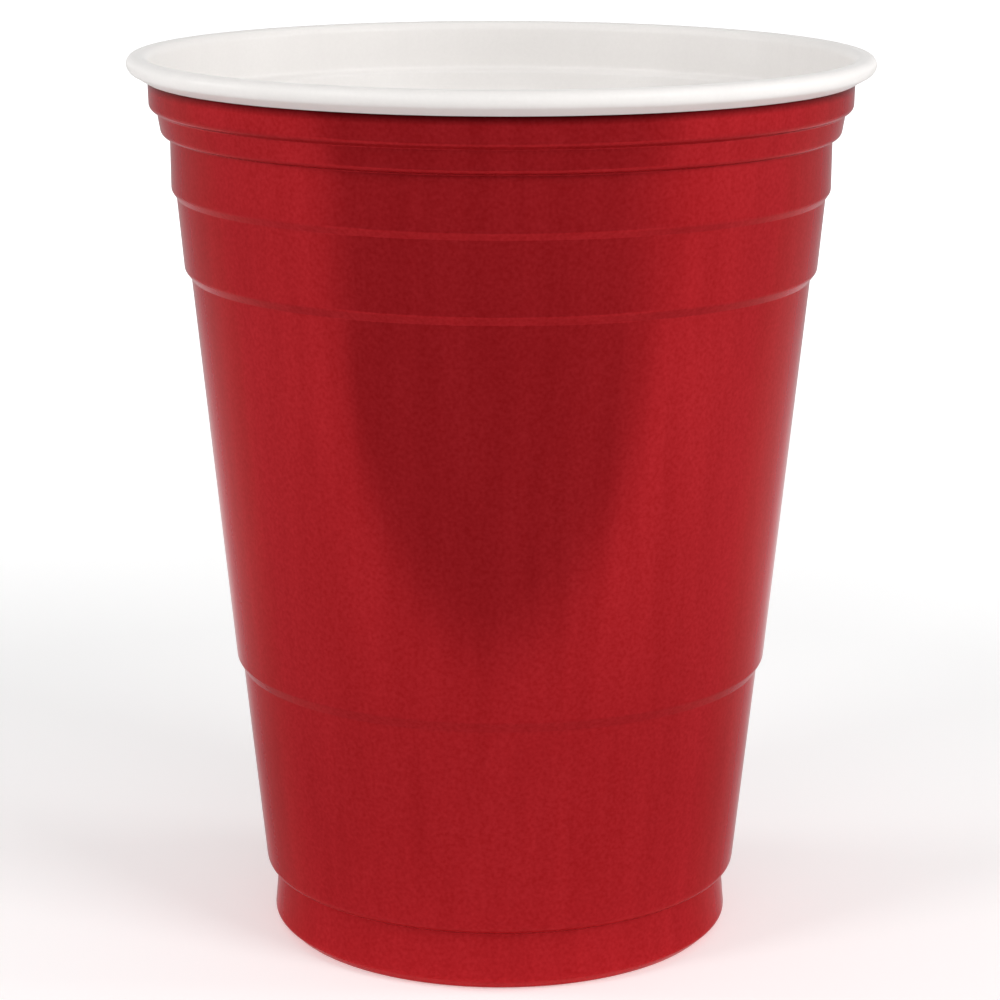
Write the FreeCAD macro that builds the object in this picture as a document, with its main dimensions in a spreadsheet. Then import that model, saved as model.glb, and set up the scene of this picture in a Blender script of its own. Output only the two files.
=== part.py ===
import FreeCAD, Part
import Sketcher
import math
import os

# Plastic party cup, drawn as it is made: one thin sheet, thermoformed and rolled over at the rim.
# Millimetres, +Z up, the origin in the middle of the ring that the cup stands on.
# The sheet's outer face is drawn once, from the middle of the base to the tucked end of the rim.
# That line gets the sheet's thickness towards the inside and is turned about Z.

START, END, CENTRE = 1, 2, 3  # the points of a line or an arc in a sketch
AXIS_ACROSS, AXIS_UP = -1, -2  # the sketch's own two axes

# Driving dimensions: name, value in millimetres or degrees, meaning
SIZES = [
    ("wall", 0.3, "thickness of the sheet"),
    ("dish_radius", 13.0, "shallow round dish in the middle of the base"),
    ("dish_slope", 0.8, "width of the sloping edge of the dish"),
    ("dish_rise", 0.6, "how far the dish stands above the base panel"),
    ("panel_width", 11.6, "flat ring of the base panel round the dish"),
    ("kick_slope", 1.6, "width of the slope from the panel down to the resting ring"),
    ("kick_rise", 2.4, "height of the base panel above the resting ring"),
    ("rest_width", 1.6, "flat ring that the cup stands on"),
    ("heel_slope", 1.6, "width of the bevelled lower edge of the foot"),
    ("heel_rise", 1.5, "height of that bevelled edge"),
    ("foot_undercut", 0.55, "how far the foot draws in from its heel to its top"),
    ("foot_rise", 6.15, "height of the foot above the heel"),
    ("foot_ledge", 1.5, "width of the ledge over the foot"),
    ("foot_ledge_rise", 0.75, "height of that ledge"),
    ("lower_flare", 2.85, "how far the lower wall widens"),
    ("lower_rise", 27.15, "height of the lower wall"),
    ("ring_ledge", 0.8, "width of the ledge at the low ring line"),
    ("ring_ledge_rise", 1.35, "height of that ledge"),
    ("body_flare", 5.05, "how far the long body widens"),
    ("body_rise", 50.35, "height of the body"),
    ("grip_ledge", 0.85, "width of the ledge under the grip band"),
    ("grip_ledge_rise", 1.1, "height of that ledge"),
    ("grip_flare", 0.85, "how far the grip band widens"),
    ("grip_rise", 9.25, "height of the grip band"),
    ("shoulder_ledge", 0.65, "width of the ledge under the shoulder band"),
    ("shoulder_ledge_rise", 0.95, "height of that ledge"),
    ("shoulder_flare", 0.05, "how far the shoulder band widens"),
    ("shoulder_rise", 6.8, "height of the shoulder band"),
    ("neck_ledge", 1.1, "width of the ledge under the narrow neck band"),
    ("neck_ledge_rise", 0.2, "height of that ledge"),
    ("neck_flare", 0.5, "how far the neck band widens"),
    ("neck_rise", 2.9, "height of the neck band"),
    ("collar_ledge", 1.0, "width of the ledge under the collar"),
    ("collar_ledge_rise", 0.55, "height of that ledge"),
    ("collar_flare", 0.15, "how far the collar widens"),
    ("collar_rise", 5.3, "height of the collar up to the roll of the rim"),
    ("dish_bend", 0.5, "radius of the bends of the dish"),
    ("base_bend", 1.0, "radius of the bends of the base panel and the heel"),
    ("edge_bend", 0.9, "radius of the lower edge of each band"),
    ("foot_edge_bend", 1.5, "radius of the lower edge of the lower wall"),
    ("inner_bend", 0.25, "radius of the tight bend where a ledge meets the band below it"),
    ("roll_inner_bend", 1.0, "radius from the collar to the top of the rim"),
    ("roll_top", 0.55, "width of the flat top of the rim"),
    ("roll_outer_bend", 0.75, "radius at the outside of the rim"),
    ("roll_lower_bend", 1.0, "radius that turns the edge back towards the collar"),
    ("roll_slope", 29.0, "slope of the tucked edge under the rim, degrees from level"),
    ("roll_gap", 0.1, "gap between the tucked edge and the collar"),
]
VALUE = {name: value for name, value, meaning in SIZES}

# Straight runs of the outer face, from the axis outwards and then up the side.
# Each has its width, its height (None where it is level) and the bend at its far end.
RUNS = [
    ("dish_radius", None, "dish_bend"),
    ("dish_slope", "-dish_rise", "dish_bend"),
    ("panel_width", None, "base_bend"),
    ("kick_slope", "-kick_rise", "base_bend"),
    ("rest_width", None, "base_bend"),
    ("heel_slope", "heel_rise", "base_bend"),
    ("-foot_undercut", "foot_rise", "inner_bend"),
    ("foot_ledge", "foot_ledge_rise", "foot_edge_bend"),
    ("lower_flare", "lower_rise", "inner_bend"),
    ("ring_ledge", "ring_ledge_rise", "edge_bend"),
    ("body_flare", "body_rise", "inner_bend"),
    ("grip_ledge", "grip_ledge_rise", "edge_bend"),
    ("grip_flare", "grip_rise", "inner_bend"),
    ("shoulder_ledge", "shoulder_ledge_rise", "edge_bend"),
    ("shoulder_flare", "shoulder_rise", "inner_bend"),
    ("neck_ledge", "neck_ledge_rise", "edge_bend"),
    ("neck_flare", "neck_rise", "inner_bend"),
    ("collar_ledge", "collar_ledge_rise", "edge_bend"),
    ("collar_flare", "collar_rise", None),
]
REST = [across for across, up, bend in RUNS].index("rest_width")


def make_sheet(doc):
    """Write the driving dimensions into a spreadsheet, one row each."""
    sheet = doc.addObject("Spreadsheet::Sheet", "Sizes")
    for row, (name, value, meaning) in enumerate(SIZES, start=1):
        sheet.set(f"A{row}", meaning)
        sheet.set(f"B{row}", str(value))
        sheet.setAlias(f"B{row}", name)
    doc.recompute()


def tie(sketch, name, constraint):
    """Add a dimension to the sketch and bind it to the cell of that name."""
    index = sketch.addConstraint(constraint)
    sketch.renameConstraint(index, name)
    sketch.setExpression(f"Constraints.{name}", f"Sizes.{name}")


def tie_distance(sketch, direction, line, signed_name):
    """Dimension a line from start to end, or from end to start where its name has a minus."""
    name = signed_name.lstrip("-")
    ends = (END, START) if signed_name.startswith("-") else (START, END)
    distance = Sketcher.Constraint(direction, line, ends[0], line, ends[1], VALUE[name])
    tie(sketch, name, distance)


def signed_value(signed_name):
    """Give the size of that name, negative where the name has a minus."""
    if signed_name is None:
        return 0.0
    size = VALUE[signed_name.lstrip("-")]
    return -size if signed_name.startswith("-") else size


def draw_runs(sketch):
    """Draw the straight runs end to end, with sharp corners, and return the last point."""
    point = FreeCAD.Vector(0.0, VALUE["kick_rise"] + VALUE["dish_rise"], 0.0)
    for line, (across, up, bend) in enumerate(RUNS):
        following = point + FreeCAD.Vector(signed_value(across), signed_value(up), 0.0)
        sketch.addGeometry(Part.LineSegment(point, following), False)
        if line > 0:
            sketch.addConstraint(Sketcher.Constraint("Coincident", line - 1, END, line, START))
        tie_distance(sketch, "DistanceX", line, across)
        if up is None:
            sketch.addConstraint(Sketcher.Constraint("Horizontal", line))
        else:
            tie_distance(sketch, "DistanceY", line, up)
        point = following
    sketch.addConstraint(Sketcher.Constraint("PointOnObject", 0, START, AXIS_UP))
    sketch.addConstraint(Sketcher.Constraint("PointOnObject", REST, START, AXIS_ACROSS))
    return point


def round_corners(sketch):
    """Put the named bend in each corner: arcs of one name are equal, and the first is sized."""
    sized_arc = {}
    for line, (across, up, bend) in enumerate(RUNS):
        if bend is None:
            continue
        arc = sketch.GeometryCount
        sketch.fillet(line, END, VALUE[bend], True, True)
        if bend in sized_arc:
            sketch.addConstraint(Sketcher.Constraint("Equal", sized_arc[bend], arc))
        else:
            sized_arc[bend] = arc
            tie(sketch, bend, Sketcher.Constraint("Radius", arc, VALUE[bend]))


def add_arc(sketch, centre, radius_name, first_angle, last_angle):
    """Add an arc that runs counter-clockwise between two angles in degrees, and size it."""
    circle = Part.Circle(centre, FreeCAD.Vector(0, 0, 1), VALUE[radius_name])
    curve = Part.ArcOfCircle(circle, math.radians(first_angle), math.radians(last_angle))
    arc = sketch.addGeometry(curve, False)
    tie(sketch, radius_name, Sketcher.Constraint("Radius", arc, VALUE[radius_name]))
    return arc


def draw_roll(sketch, foot_of_roll):
    """Draw the rolled rim: over the top, down the outside and back in towards the collar."""
    collar = len(RUNS) - 1
    inner, outer, lower = VALUE["roll_inner_bend"], VALUE["roll_outer_bend"], VALUE["roll_lower_bend"]
    slope = math.radians(VALUE["roll_slope"])
    inner_centre = foot_of_roll + FreeCAD.Vector(inner, 0, 0)
    top_start = inner_centre + FreeCAD.Vector(0, inner, 0)
    top_end = top_start + FreeCAD.Vector(VALUE["roll_top"], 0, 0)
    outer_centre = top_end - FreeCAD.Vector(0, outer, 0)
    lower_centre = outer_centre + FreeCAD.Vector(outer - lower, 0, 0)
    tuck_end = lower_centre + FreeCAD.Vector(math.sin(slope), -math.cos(slope), 0) * lower
    tuck_width = tuck_end.x - foot_of_roll.x - VALUE["roll_gap"]
    tuck_start = tuck_end - FreeCAD.Vector(tuck_width, tuck_width * math.tan(slope), 0)

    inner_arc = add_arc(sketch, inner_centre, "roll_inner_bend", 90, 180)
    top = sketch.addGeometry(Part.LineSegment(top_start, top_end), False)
    outer_arc = add_arc(sketch, outer_centre, "roll_outer_bend", 0, 90)
    lower_arc = add_arc(sketch, lower_centre, "roll_lower_bend", VALUE["roll_slope"] - 90, 0)
    tuck = sketch.addGeometry(Part.LineSegment(tuck_start, tuck_end), False)

    for first, first_end, second, second_end in [
        (collar, END, inner_arc, END),
        (inner_arc, START, top, START),
        (top, END, outer_arc, END),
        (outer_arc, START, lower_arc, END),
        (lower_arc, START, tuck, END),
    ]:
        smooth = Sketcher.Constraint("Tangent", first, first_end, second, second_end)
        sketch.addConstraint(smooth)
    sketch.addConstraint(Sketcher.Constraint("Horizontal", top))
    sketch.addConstraint(Sketcher.Constraint("Horizontal", outer_arc, CENTRE, lower_arc, CENTRE))
    tie_distance(sketch, "DistanceX", top, "roll_top")
    tie(sketch, "roll_slope", Sketcher.Constraint("Angle", tuck, slope))
    gap = Sketcher.Constraint("DistanceX", collar, END, tuck, START, VALUE["roll_gap"])
    tie(sketch, "roll_gap", gap)


def make_outer_line(doc):
    """Draw the outer face of the sheet as one open line in the XZ plane."""
    sketch = doc.addObject("Sketcher::SketchObject", "OuterLine")
    upright = FreeCAD.Rotation(FreeCAD.Vector(1, 0, 0), 90)
    sketch.Placement = FreeCAD.Placement(FreeCAD.Vector(0, 0, 0), upright)
    foot_of_roll = draw_runs(sketch)
    round_corners(sketch)
    draw_roll(sketch, foot_of_roll)
    return sketch


def make_section(doc, outer_line):
    """Give the line the thickness of the sheet, towards the inside of the cup."""
    section = doc.addObject("Part::Offset2D", "SheetSection")
    section.Source = outer_line
    section.Mode = "Skin"
    section.Join = "Tangent"
    section.Fill = True
    section.setExpression("Value", "Sizes.wall")
    return section


def make_cup(doc, section):
    """Turn the section about Z into the cup."""
    cup = doc.addObject("Part::Revolution", "Cup")
    cup.Source = section
    cup.Base = FreeCAD.Vector(0, 0, 0)
    cup.Axis = FreeCAD.Vector(0, 0, 1)
    cup.Angle = 360
    cup.Solid = True
    cup.Label = "cup"
    return cup


def check(doc, pieces):
    """Stop if any object failed, or if a piece is not one valid solid."""
    for item in doc.Objects:
        if "Invalid" in item.State or "Error" in item.State:
            raise RuntimeError(f"{item.Name} did not compute: {item.State}")
    for piece in pieces:
        if piece.Shape.isNull() or not piece.Shape.isValid() or len(piece.Shape.Solids) != 1:
            raise RuntimeError(f"{piece.Label} is not one valid solid")


def export(pieces):
    """Write each piece to its own STEP file."""
    os.makedirs("parts", exist_ok=True)
    for piece in pieces:
        piece.Shape.exportStep(f"parts/{piece.Label}.step")
        box = piece.Shape.optimalBoundingBox(False, False)
        print(piece.Label, "diameter", round(box.XLength, 2), "height", round(box.ZLength, 2))


doc = FreeCAD.newDocument("PartyCup")
make_sheet(doc)
outer_line = make_outer_line(doc)
cup = make_cup(doc, make_section(doc, outer_line))
doc.recompute()
check(doc, [cup])
export([cup])
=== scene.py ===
import logging
import math
from dataclasses import dataclass, fields
from enum import Enum
from typing import NamedTuple

import bmesh
import bpy
from mathutils import Matrix, Vector


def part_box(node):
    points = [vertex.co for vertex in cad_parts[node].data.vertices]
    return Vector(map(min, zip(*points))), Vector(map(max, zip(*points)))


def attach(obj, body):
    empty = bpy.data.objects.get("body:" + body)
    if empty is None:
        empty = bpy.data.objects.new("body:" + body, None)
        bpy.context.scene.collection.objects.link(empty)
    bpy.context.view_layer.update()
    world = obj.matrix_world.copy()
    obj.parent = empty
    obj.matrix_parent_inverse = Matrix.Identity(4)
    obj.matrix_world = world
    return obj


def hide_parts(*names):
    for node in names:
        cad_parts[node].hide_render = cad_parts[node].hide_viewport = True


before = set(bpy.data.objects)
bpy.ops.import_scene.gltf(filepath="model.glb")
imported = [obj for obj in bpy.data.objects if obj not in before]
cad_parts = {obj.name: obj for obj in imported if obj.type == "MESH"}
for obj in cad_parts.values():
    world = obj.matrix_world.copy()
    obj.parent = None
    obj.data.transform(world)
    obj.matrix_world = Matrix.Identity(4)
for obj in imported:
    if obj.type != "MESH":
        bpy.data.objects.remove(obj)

LOG = logging.getLogger("party_cup")
MM = 0.001
ROUND_STEPS = 256
MERGE_DISTANCE = 0.001 * MM
NOISE_LOW = 0.3
NOISE_HIGH = 0.7

Colour = tuple[float, float, float]
Place = tuple[float, float, float]


class Side(Enum):
    """The two faces of the sheet, by the material slot that each one has."""

    OUTSIDE = 0
    INSIDE = 1


class Run(NamedTuple):
    """A straight stretch of the sheet's outer face, in millimetres, and the bend at its end."""

    across: float
    up: float
    bend: float


class PaintedCreaseShade(NamedTuple):
    """Painted shade: a height, in metres, towards which a finish's colour is darkened, and the share of the
    colour left there.
    """

    start: float
    end: float
    share: float


@dataclass(frozen=True)
class PlasticFinish:
    """A moulded plastic skin: its colour, its gloss and its fine surface.

    The draw marks are the faint upright streaks that stretching leaves in a thermoformed wall.
    The peel is the fine unevenness of a skin that cooled against a mould.
    The crease shade is painted shade: the colour darkens towards the narrow gap where the rim's edge tucks
    in to the wall and little light gets in, adding to the real shade there.
    """

    name: str
    colour: Colour
    streak: Colour
    speckle: Colour
    roughness: float
    roughness_change: float
    coloured_gloss: float
    specular_level: float
    specular_tint: Colour
    peel_depth: float
    draw_depth: float
    peel_scale: float = 2200.0
    draw_scale: float = 320.0
    draw_stretch: float = 0.05
    noise_detail: float = 3.0
    # Painted shade under the rim; a share of 1.0 leaves the whole colour, so none is painted.
    crease_shade: PaintedCreaseShade = PaintedCreaseShade(111.3 * MM, 112.3 * MM, 1.0)

    def material(self) -> bpy.types.Material:
        """Build the node material.

        Returns:
            The finished material, with every pattern on Object coordinates.
        """
        made = bpy.data.materials.new(self.name)
        made.use_nodes = True
        tree = made.node_tree
        shader = tree.nodes["Principled BSDF"]
        shader.inputs["Metallic"].default_value = self.coloured_gloss
        shader.inputs["Specular IOR Level"].default_value = self.specular_level
        shader.inputs["Specular Tint"].default_value = (*self.specular_tint, 1.0)
        place = tree.nodes.new("ShaderNodeTexCoord")
        peel = self._noise(tree, place.outputs["Object"], self.peel_scale, 1.0)
        draw = self._noise(tree, place.outputs["Object"], self.draw_scale, self.draw_stretch)

        colour = self._shade(tree, draw, self.streak, None)
        colour = self._shade(tree, peel, self.speckle, colour)
        # Painted shade: the colour darkens upwards on the wall just under the rim.
        colour = self._paint_crease_shade(tree, place.outputs["Object"], colour)
        tree.links.new(colour, shader.inputs["Base Color"])

        gloss = tree.nodes.new("ShaderNodeMapRange")
        gloss.inputs["To Min"].default_value = self.roughness - self.roughness_change
        gloss.inputs["To Max"].default_value = self.roughness + self.roughness_change
        tree.links.new(peel.outputs["Fac"], gloss.inputs["Value"])
        tree.links.new(gloss.outputs["Result"], shader.inputs["Roughness"])

        fine = self._bump(tree, peel, self.peel_depth, None)
        broad = self._bump(tree, draw, self.draw_depth, fine)
        tree.links.new(broad.outputs["Normal"], shader.inputs["Normal"])
        return made

    def _noise(
        self, tree: bpy.types.NodeTree, place: bpy.types.NodeSocket, scale: float, stretch: float
    ) -> bpy.types.Node:
        """Add a noise whose cells are drawn out along Z.

        Args:
            tree: The material's node tree.
            place: The coordinates that the noise follows.
            scale: Cells to a metre across the wall.
            stretch: Cells to a metre up the wall, as a share of those across.

        Returns:
            The noise node.
        """
        mapping = tree.nodes.new("ShaderNodeMapping")
        mapping.inputs["Scale"].default_value = (1.0, 1.0, stretch)
        noise = tree.nodes.new("ShaderNodeTexNoise")
        noise.inputs["Scale"].default_value = scale
        noise.inputs["Detail"].default_value = self.noise_detail
        tree.links.new(place, mapping.inputs["Vector"])
        tree.links.new(mapping.outputs["Vector"], noise.inputs["Vector"])
        return noise

    def _shade(
        self,
        tree: bpy.types.NodeTree,
        noise: bpy.types.Node,
        change: Colour,
        under: bpy.types.NodeSocket | None,
    ) -> bpy.types.NodeSocket:
        """Make the colour a little lighter and darker with a noise.

        Args:
            tree: The material's node tree.
            noise: The noise that the shade follows.
            change: Share by which each channel of the colour rises and falls.
            under: The colour that is shaded, or none for the finish's own.

        Returns:
            The socket that gives the shaded colour.
        """
        swing = tree.nodes.new("ShaderNodeMapRange")
        swing.inputs["From Min"].default_value = NOISE_LOW
        swing.inputs["From Max"].default_value = NOISE_HIGH
        swing.inputs["To Min"].default_value = -1.0
        tree.links.new(noise.outputs["Fac"], swing.inputs["Value"])
        shade = tree.nodes.new("ShaderNodeVectorMath")
        shade.operation = "MULTIPLY_ADD"
        tree.links.new(swing.outputs["Result"], shade.inputs[0])
        shade.inputs[1].default_value = change
        shade.inputs[2].default_value = (1.0, 1.0, 1.0)
        tint = tree.nodes.new("ShaderNodeVectorMath")
        tint.operation = "MULTIPLY"
        tree.links.new(shade.outputs["Vector"], tint.inputs[0])
        if under is None:
            tint.inputs[1].default_value = self.colour
        else:
            tree.links.new(under, tint.inputs[1])
        return tint.outputs["Vector"]

    def _paint_crease_shade(
        self, tree: bpy.types.NodeTree, place: bpy.types.NodeSocket, under: bpy.types.NodeSocket
    ) -> bpy.types.NodeSocket:
        """Paint shade into the colour, darker upwards into the crease.

        Args:
            tree: The material's node tree.
            place: The coordinates that give the height.
            under: The colour that is darkened.

        Returns:
            The socket that gives the darkened colour.
        """
        # Painted shade: the colour is scaled down with height towards the crease.
        split = tree.nodes.new("ShaderNodeSeparateXYZ")
        tree.links.new(place, split.inputs["Vector"])
        share = tree.nodes.new("ShaderNodeMapRange")
        share.inputs["From Min"].default_value = self.crease_shade.start
        share.inputs["From Max"].default_value = self.crease_shade.end
        share.inputs["To Min"].default_value = 1.0
        share.inputs["To Max"].default_value = self.crease_shade.share
        tree.links.new(split.outputs["Z"], share.inputs["Value"])
        tint = tree.nodes.new("ShaderNodeVectorMath")
        tint.operation = "SCALE"
        tree.links.new(under, tint.inputs[0])
        tree.links.new(share.outputs["Result"], tint.inputs["Scale"])
        return tint.outputs["Vector"]

    @staticmethod
    def _bump(
        tree: bpy.types.NodeTree, noise: bpy.types.Node, depth: float, under: bpy.types.Node | None
    ) -> bpy.types.Node:
        """Add a bump from a noise, on top of another bump where there is one.

        Args:
            tree: The material's node tree.
            noise: The noise that gives the height.
            depth: Height in metres from the lowest to the highest value.
            under: The bump that this one adds to.

        Returns:
            The bump node.
        """
        bump = tree.nodes.new("ShaderNodeBump")
        bump.inputs["Distance"].default_value = depth
        tree.links.new(noise.outputs["Fac"], bump.inputs["Height"])
        if under is not None:
            tree.links.new(under.outputs["Normal"], bump.inputs["Normal"])
        return bump


RED_OUTSIDE = PlasticFinish(
    name="red_plastic",
    colour=(0.355, 0.0130, 0.0165),
    streak=(0.05, 0.10, 0.10),
    speckle=(0.08, 0.24, 0.24),
    roughness=0.15,
    roughness_change=0.02,
    coloured_gloss=0.33,
    specular_level=0.05,
    specular_tint=(1.0, 0.3, 0.35),
    peel_depth=0.006 * MM,
    draw_depth=0.02 * MM,
    # Painted shade under the rim: a quarter of the red is left at the top of the band.
    crease_shade=PaintedCreaseShade(111.3 * MM, 112.3 * MM, 0.25),
)
WHITE_INSIDE = PlasticFinish(
    name="white_plastic",
    colour=(0.86, 0.832, 0.810),
    streak=(0.008, 0.008, 0.008),
    speckle=(0.01, 0.01, 0.01),
    roughness=0.30,
    roughness_change=0.03,
    coloured_gloss=0.0,
    specular_level=0.12,
    specular_tint=(1.0, 1.0, 1.0),
    peel_depth=0.003 * MM,
    draw_depth=0.015 * MM,
)


class ProfilePen:
    """Draws a wire in the XZ plane as a pen would: straight on, or round a bend."""

    def __init__(self, mesh: bmesh.types.BMesh, start: Vector, step_angle: float) -> None:
        """Put the pen down.

        Args:
            mesh: The mesh that takes the wire.
            start: Where the wire begins.
            step_angle: The most that one step of a bend turns, in radians.
        """
        self.mesh = mesh
        self.tip = mesh.verts.new(start)
        self.heading = 0.0
        self.step_angle = step_angle

    def advance(self, length: float) -> None:
        """Draw a straight line along the heading.

        Args:
            length: How long the line is.
        """
        drawn = bmesh.ops.extrude_vert_indiv(self.mesh, verts=[self.tip])
        self.tip = drawn["verts"][0]
        along = Vector((math.cos(self.heading), 0.0, math.sin(self.heading)))
        bmesh.ops.translate(self.mesh, verts=[self.tip], vec=along * length)

    def turn(self, radius: float, angle: float) -> None:
        """Draw a bend.

        Args:
            radius: The bend's radius.
            angle: How far it turns, in radians, upwards from the X axis where positive.
        """
        left = Vector((-math.sin(self.heading), 0.0, math.cos(self.heading)))
        centre = self.tip.co + left * math.copysign(radius, angle)
        steps = max(2, math.ceil(abs(angle) / self.step_angle))
        bend = bmesh.ops.spin(
            self.mesh, geom=[self.tip], cent=centre, axis=(0.0, -1.0, 0.0), angle=angle, steps=steps
        )
        self.tip = next(item for item in bend["geom_last"] if isinstance(item, bmesh.types.BMVert))
        self.heading += angle


@dataclass(frozen=True)
class Rim:
    """The rolled rim, in millimetres and degrees, along the sheet's outer face."""

    inner_bend: float = 1.0
    top: float = 0.55
    outer_bend: float = 0.75
    lower_bend: float = 1.0
    slope: float = 29.0
    gap: float = 0.1

    def draw(self, pen: ProfilePen) -> None:
        """Roll the sheet over, down and back in to the collar.

        Args:
            pen: The pen that has just drawn the collar, with its tip at the collar's top.
        """
        collar = pen.tip.co.x
        pen.turn(self.inner_bend * MM, -pen.heading)
        pen.advance(self.top * MM)
        pen.turn(self.outer_bend * MM, math.radians(-90.0))
        pen.turn(self.lower_bend * MM, math.radians(self.slope - 90.0))
        tuck = pen.tip.co.x - collar - self.gap * MM
        pen.advance(tuck / math.cos(math.radians(self.slope)))


@dataclass(frozen=True)
class CupSheet:
    """The cup's one thin sheet, from the middle of the base to the end of the rolled rim."""

    base_dish: Run = Run(13.0, 0.0, 0.5)
    dish_edge: Run = Run(0.8, -0.6, 0.5)
    base_panel: Run = Run(11.6, 0.0, 1.0)
    kick: Run = Run(1.6, -2.4, 1.0)
    resting_ring: Run = Run(1.6, 0.0, 1.0)
    heel: Run = Run(1.6, 1.5, 1.0)
    foot: Run = Run(-0.55, 6.15, 0.25)
    foot_ledge: Run = Run(1.5, 0.75, 1.5)
    lower_wall: Run = Run(2.85, 27.15, 0.25)
    ring_ledge: Run = Run(0.8, 1.35, 0.9)
    body: Run = Run(5.05, 50.35, 0.25)
    grip_ledge: Run = Run(0.85, 1.1, 0.9)
    grip_band: Run = Run(0.85, 9.25, 0.25)
    shoulder_ledge: Run = Run(0.65, 0.95, 0.9)
    shoulder_band: Run = Run(0.05, 6.8, 0.25)
    neck_ledge: Run = Run(1.1, 0.2, 0.9)
    neck_band: Run = Run(0.5, 2.9, 0.25)
    collar_ledge: Run = Run(1.0, 0.55, 0.9)
    collar: Run = Run(0.15, 5.3, 0.0)
    rim: Rim = Rim()
    base_height: float = 3.0
    thickness: float = 0.3
    facets: int = ROUND_STEPS
    bend_step: float = 12.0
    sharp_angle: float = 40.0

    def runs(self) -> list[Run]:
        """Give the straight runs in order, from the axis to the rim."""
        values = [getattr(self, item.name) for item in fields(self)]
        return [value for value in values if isinstance(value, Run)]

    def draw_profile(self, mesh: bmesh.types.BMesh) -> None:
        """Draw the outer face's line as a wire.

        Args:
            mesh: The empty mesh that takes the wire.
        """
        pen = ProfilePen(mesh, Vector((0.0, 0.0, self.base_height * MM)), math.radians(self.bend_step))
        runs = self.runs()
        headings = [math.atan2(run.up, run.across) for run in runs]
        trimmed = 0.0
        for index, run in enumerate(runs):
            length = math.hypot(run.across, run.up) * MM - trimmed
            if run.bend == 0.0:
                pen.advance(length)
                continue
            angle = headings[index + 1] - headings[index]
            trimmed = run.bend * MM * math.tan(abs(angle) / 2.0)
            pen.advance(length - trimmed)
            pen.turn(run.bend * MM, angle)
        self.rim.draw(pen)

    def build(self) -> bpy.types.Object:
        """Spin the line round the cup's axis and give it the sheet's thickness.

        Returns:
            The finished cup, its outer faces given the first material index and its inner faces the second.
        """
        mesh = bmesh.new()
        self.draw_profile(mesh)
        bmesh.ops.spin(
            mesh,
            geom=mesh.verts[:] + mesh.edges[:],
            cent=(0.0, 0.0, 0.0),
            axis=(0.0, 0.0, 1.0),
            angle=math.tau,
            steps=self.facets,
            use_merge=True,
        )
        bmesh.ops.remove_doubles(mesh, verts=mesh.verts[:], dist=MERGE_DISTANCE)
        self._face_outwards(mesh)
        outside = set(mesh.faces)
        bmesh.ops.solidify(mesh, geom=mesh.faces[:], thickness=self.thickness * MM)
        for face in mesh.faces:
            face.material_index = (Side.OUTSIDE if face in outside else Side.INSIDE).value
            face.smooth = True
        for edge in mesh.edges:
            edge.smooth = edge.calc_face_angle() < math.radians(self.sharp_angle)
        data = bpy.data.meshes.new("party_cup")
        mesh.to_mesh(data)
        mesh.free()
        cup = bpy.data.objects.new("party_cup", data)
        bpy.context.scene.collection.objects.link(cup)
        return cup

    @staticmethod
    def _face_outwards(mesh: bmesh.types.BMesh) -> None:
        """Turn every face of the spun sheet away from the cup's axis.

        Args:
            mesh: The spun sheet, merged, before it has its thickness.
        """
        bmesh.ops.recalc_face_normals(mesh, faces=mesh.faces[:])
        wall = max(mesh.faces, key=bmesh.types.BMFace.calc_area)
        if wall.normal.xy.dot(wall.calc_center_median().xy) < 0.0:
            bmesh.ops.reverse_faces(mesh, faces=mesh.faces[:])

    @staticmethod
    def dress(cup: bpy.types.Object, outside: PlasticFinish, inside: PlasticFinish) -> None:
        """Give the two faces of the sheet their finishes, in the order of their slots."""
        cup.data.materials.append(outside.material())
        cup.data.materials.append(inside.material())


@dataclass(frozen=True)
class Lamp:
    """A soft square lamp, in metres, watts and degrees round the cup."""

    name: str
    bearing: float
    height: float
    distance: float
    width: float
    power: float
    colour: Colour = (1.0, 1.0, 1.0)

    def place(self, target: Vector) -> None:
        """Hang the lamp and turn it to the target.

        Args:
            target: The point that the lamp's middle faces.
        """
        data = bpy.data.lights.new(self.name, "AREA")
        data.shape = "SQUARE"
        data.size = self.width
        data.energy = self.power
        data.color = self.colour
        lamp = bpy.data.objects.new(self.name, data)
        bearing = math.radians(self.bearing)
        lamp.location = (self.distance * math.sin(bearing), -self.distance * math.cos(bearing), self.height)
        lamp.rotation_euler = (target - lamp.location).to_track_quat("-Z", "Y").to_euler()
        bpy.context.scene.collection.objects.link(lamp)


class Stop(NamedTuple):
    """A value that holds at a place from 0 to 1, with an even change from each stop to the next."""

    place: float
    value: float


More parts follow.
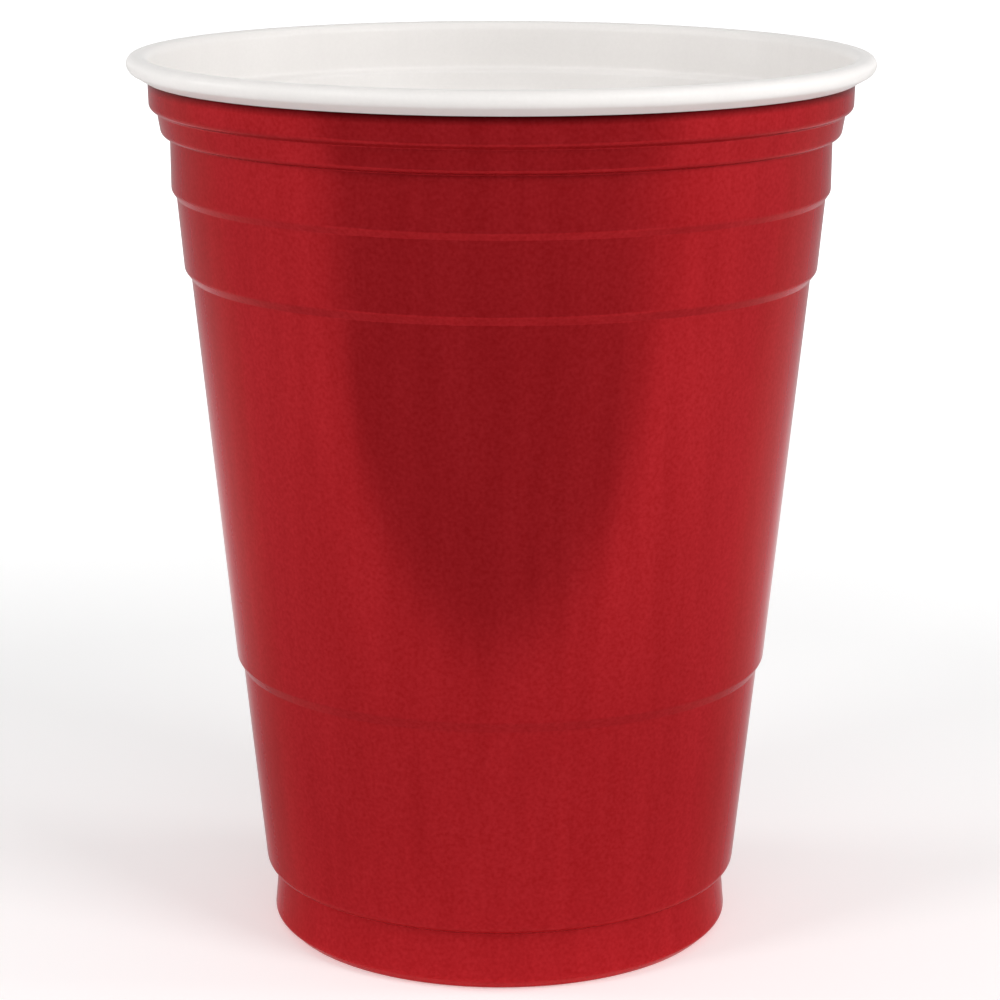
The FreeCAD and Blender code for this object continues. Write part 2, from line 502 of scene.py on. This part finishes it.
@dataclass(frozen=True)
class Studio:
    """The table, the dark cloth that the cup mirrors, the room and the lamps.

    Bearings are 0 towards the camera and positive towards the right of the photograph. The glows
    follow the distance from the cup's axis in metres. The cloth's front follows the distance along
    its own bearing, and its sides follow the bearing in turns, where a quarter is the camera's.
    """

    table_grey: float = 0.90
    table_place: Place = (0.0, 0.0, 0.0)
    table_radius: float = 4.0
    seen_glow: tuple[Stop, ...] = (Stop(0.15, 0.28), Stop(0.7, 1.0))
    mirrored_glow: tuple[Stop, ...] = (Stop(0.08, 0.0), Stop(0.16, 0.28), Stop(0.22, 0.28), Stop(0.4, 0.0))
    bounced_glow: tuple[Stop, ...] = (Stop(0.03, 0.95), Stop(0.05, 0.0))
    cloth_place: Place = (0.0, -2.09, 0.5 * MM)
    cloth_radius: float = 2.0
    cloth_turn: float = -2.0
    cloth_front: tuple[Stop, ...] = (Stop(0.102, 0.0), Stop(0.122, 1.0))
    cloth_sides: tuple[Stop, ...] = (Stop(0.072, 0.0), Stop(0.111, 1.0), Stop(0.367, 1.0), Stop(0.428, 0.0))
    cloth_grey: float = 0.02
    cloth_glow: float = 0.72
    room_light: float = 0.36
    background: float = 1.0
    lamps: tuple[Lamp, ...] = (
        Lamp("front_lamp", bearing=0.0, height=0.55, distance=1.1, width=0.9, power=2.05),
        Lamp("key_lamp", bearing=46.0, height=0.52, distance=0.9, width=0.4, power=4.0),
        Lamp("side_lamp", bearing=-51.0, height=0.52, distance=0.9, width=0.25, power=2.2),
        Lamp("left_lamp", bearing=-95.0, height=0.30, distance=0.9, width=0.3, power=2.3),
        Lamp("right_lamp", bearing=90.0, height=0.30, distance=0.9, width=0.3, power=2.3),
    )

    def build(self, target: Vector) -> None:
        """Set up the table, the dark cloth in front of it, the room's light and the lamps.

        Args:
            target: The middle of the cup, which the lamps face.
        """
        pale = self._table_material("pale_table")
        self._lay("table", self.table_place, self.table_radius, pale)
        dark = self._table_material("dark_cloth")
        self._darken(dark.node_tree)
        cloth = self._lay("dark_cloth", self.cloth_place, self.cloth_radius, dark)
        cloth.visible_camera = False
        cloth.visible_shadow = False
        self._light_room()
        for lamp in self.lamps:
            lamp.place(target)

    @staticmethod
    def _lay(name: str, place: Place, radius: float, material: bpy.types.Material) -> bpy.types.Object:
        """Lay a flat round sheet.

        Args:
            name: The sheet's name.
            place: Where its middle lies.
            radius: Its radius.
            material: Its finish.

        Returns:
            The sheet.
        """
        mesh = bmesh.new()
        bmesh.ops.create_circle(
            mesh, cap_ends=True, segments=ROUND_STEPS, radius=radius, matrix=Matrix.Translation(place)
        )
        data = bpy.data.meshes.new(name)
        mesh.to_mesh(data)
        mesh.free()
        data.materials.append(material)
        laid = bpy.data.objects.new(name, data)
        bpy.context.scene.collection.objects.link(laid)
        return laid

    @staticmethod
    def _ramp(
        tree: bpy.types.NodeTree, stops: tuple[Stop, ...], place: bpy.types.NodeSocket
    ) -> bpy.types.NodeSocket:
        """Turn a place into a value.

        Args:
            tree: The material's node tree.
            stops: The values that hold at each place, in order.
            place: The socket that gives the place.

        Returns:
            The socket that gives the value.
        """
        ramp = tree.nodes.new("ShaderNodeValToRGB")
        marks = ramp.color_ramp.elements
        for _ in stops[2:]:
            marks.new(1.0)
        for mark, stop in zip(marks, stops):
            mark.position = stop.place
            mark.color = (stop.value, stop.value, stop.value, 1.0)
        tree.links.new(place, ramp.inputs["Fac"])
        return ramp.outputs["Color"]

    def _table_material(self, name: str) -> bpy.types.Material:
        """Build the pale table's finish, with a glow of its own for each way in which its light is met.

        Args:
            name: The material's name.

        Returns:
            The finished material.
        """
        made = bpy.data.materials.new(name)
        made.use_nodes = True
        tree = made.node_tree
        shader = tree.nodes["Principled BSDF"]
        shader.inputs["Base Color"].default_value = (self.table_grey, self.table_grey, self.table_grey, 1.0)
        shader.inputs["Roughness"].default_value = 1.0
        shader.inputs["Specular IOR Level"].default_value = 0.0
        shader.inputs["Emission Color"].default_value = (1.0, 1.0, 1.0, 1.0)
        place = tree.nodes.new("ShaderNodeTexCoord")
        distance = tree.nodes.new("ShaderNodeVectorMath")
        distance.operation = "LENGTH"
        tree.links.new(place.outputs["Object"], distance.inputs[0])
        path = tree.nodes.new("ShaderNodeLightPath")
        total = None
        for glow, kind in (
            (self.seen_glow, "Is Camera Ray"),
            (self.mirrored_glow, "Is Glossy Ray"),
            (self.bounced_glow, "Is Diffuse Ray"),
        ):
            part = tree.nodes.new("ShaderNodeMath")
            part.operation = "MULTIPLY_ADD"
            part.inputs[2].default_value = 0.0
            tree.links.new(path.outputs[kind], part.inputs[0])
            tree.links.new(self._ramp(tree, glow, distance.outputs["Value"]), part.inputs[1])
            if total is not None:
                tree.links.new(total, part.inputs[2])
            total = part.outputs["Value"]
        tree.links.new(total, shader.inputs["Emission Strength"])
        return made

    def _darken(self, tree: bpy.types.NodeTree) -> None:
        """Lay the cloth's dark colour over the table's finish.

        The dark part still hands on some light to dull surfaces, as a paler table would.

        Args:
            tree: The node tree of a table material.
        """
        shader = tree.nodes["Principled BSDF"]
        glow = shader.inputs["Emission Strength"].links[0].from_socket
        place = tree.nodes.new("ShaderNodeTexCoord")
        ahead = tree.nodes.new("ShaderNodeVectorMath")
        ahead.operation = "DOT_PRODUCT"
        turn = math.radians(self.cloth_turn)
        ahead.inputs[1].default_value = (math.sin(turn), -math.cos(turn), 0.0)
        tree.links.new(place.outputs["Object"], ahead.inputs[0])
        bearing = tree.nodes.new("ShaderNodeTexGradient")
        bearing.gradient_type = "RADIAL"
        tree.links.new(place.outputs["Object"], bearing.inputs["Vector"])
        cover = tree.nodes.new("ShaderNodeMath")
        cover.operation = "MULTIPLY"
        tree.links.new(self._ramp(tree, self.cloth_front, ahead.outputs["Value"]), cover.inputs[0])
        tree.links.new(self._ramp(tree, self.cloth_sides, bearing.outputs["Fac"]), cover.inputs[1])

        greys = (Stop(0.0, self.table_grey), Stop(1.0, self.cloth_grey))
        tree.links.new(self._ramp(tree, greys, cover.outputs["Value"]), shader.inputs["Base Color"])

        path = tree.nodes.new("ShaderNodeLightPath")
        bounce = tree.nodes.new("ShaderNodeMath")
        bounce.operation = "MULTIPLY"
        bounce.inputs[1].default_value = self.cloth_glow
        tree.links.new(path.outputs["Is Diffuse Ray"], bounce.inputs[0])
        strength = tree.nodes.new("ShaderNodeMix")
        tree.links.new(cover.outputs["Value"], strength.inputs["Factor"])
        tree.links.new(glow, strength.inputs["A"])
        tree.links.new(bounce.outputs["Value"], strength.inputs["B"])
        tree.links.new(strength.outputs["Result"], shader.inputs["Emission Strength"])

    def _light_room(self) -> None:
        """Fill the room with soft light, white where the camera or a gloss sees it."""
        world = bpy.data.worlds.new("studio_room")
        world.use_nodes = True
        tree = world.node_tree
        sky = tree.nodes["Background"]
        sky.inputs["Color"].default_value = (1.0, 1.0, 1.0, 1.0)
        path = tree.nodes.new("ShaderNodeLightPath")
        seen = path.outputs["Is Camera Ray"]
        for kind in ("Is Glossy Ray", "Is Transmission Ray"):
            either = tree.nodes.new("ShaderNodeMath")
            either.operation = "MAXIMUM"
            tree.links.new(seen, either.inputs[0])
            tree.links.new(path.outputs[kind], either.inputs[1])
            seen = either.outputs["Value"]
        strength = tree.nodes.new("ShaderNodeMapRange")
        strength.inputs["To Min"].default_value = self.room_light
        strength.inputs["To Max"].default_value = self.background
        tree.links.new(seen, strength.inputs["Value"])
        tree.links.new(strength.outputs["Result"], sky.inputs["Strength"])
        bpy.context.scene.world = world


@dataclass(frozen=True)
class Viewpoint:
    """The photograph's camera, in metres, degrees and pixels of its 1000-pixel frame."""

    distance: float = 0.4151
    height: float = 0.1545
    pitch: float = 13.23
    roll: float = 0.12
    focal_pixels: float = 3243.0
    axis_pixel: float = 500.5
    frame_pixels: float = 1000.0
    sensor: float = 36.0
    clip_start: float = 0.01

    def place(self) -> None:
        """Set the camera up and make it the scene's."""
        data = bpy.data.cameras.new("camera")
        data.sensor_width = self.sensor
        data.lens = self.focal_pixels / self.frame_pixels * self.sensor
        data.shift_x = (self.frame_pixels / 2.0 - self.axis_pixel) / self.frame_pixels
        data.clip_start = self.clip_start
        camera = bpy.data.objects.new("camera", data)
        tilt = Matrix.Rotation(math.radians(90.0 - self.pitch), 4, "X")
        roll = Matrix.Rotation(math.radians(self.roll), 4, "Z")
        camera.matrix_world = Matrix.Translation((0.0, -self.distance, self.height)) @ tilt @ roll
        bpy.context.scene.collection.objects.link(camera)
        bpy.context.scene.camera = camera


def main() -> None:
    """Build the cup and the studio round it."""
    logging.basicConfig(level=logging.INFO, format="%(name)s: %(message)s")
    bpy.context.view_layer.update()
    low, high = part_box("cup")

    sheet = CupSheet()
    cup = sheet.build()
    sheet.dress(cup, RED_OUTSIDE, WHITE_INSIDE)
    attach(cup, "root")
    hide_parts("cup")
    LOG.info("%s: %d faces", cup.name, len(cup.data.polygons))

    Studio().build((low + high) / 2.0)
    Viewpoint().place()
    bpy.context.scene.view_settings.view_transform = "Standard"


if __name__ == "__main__":
    main()
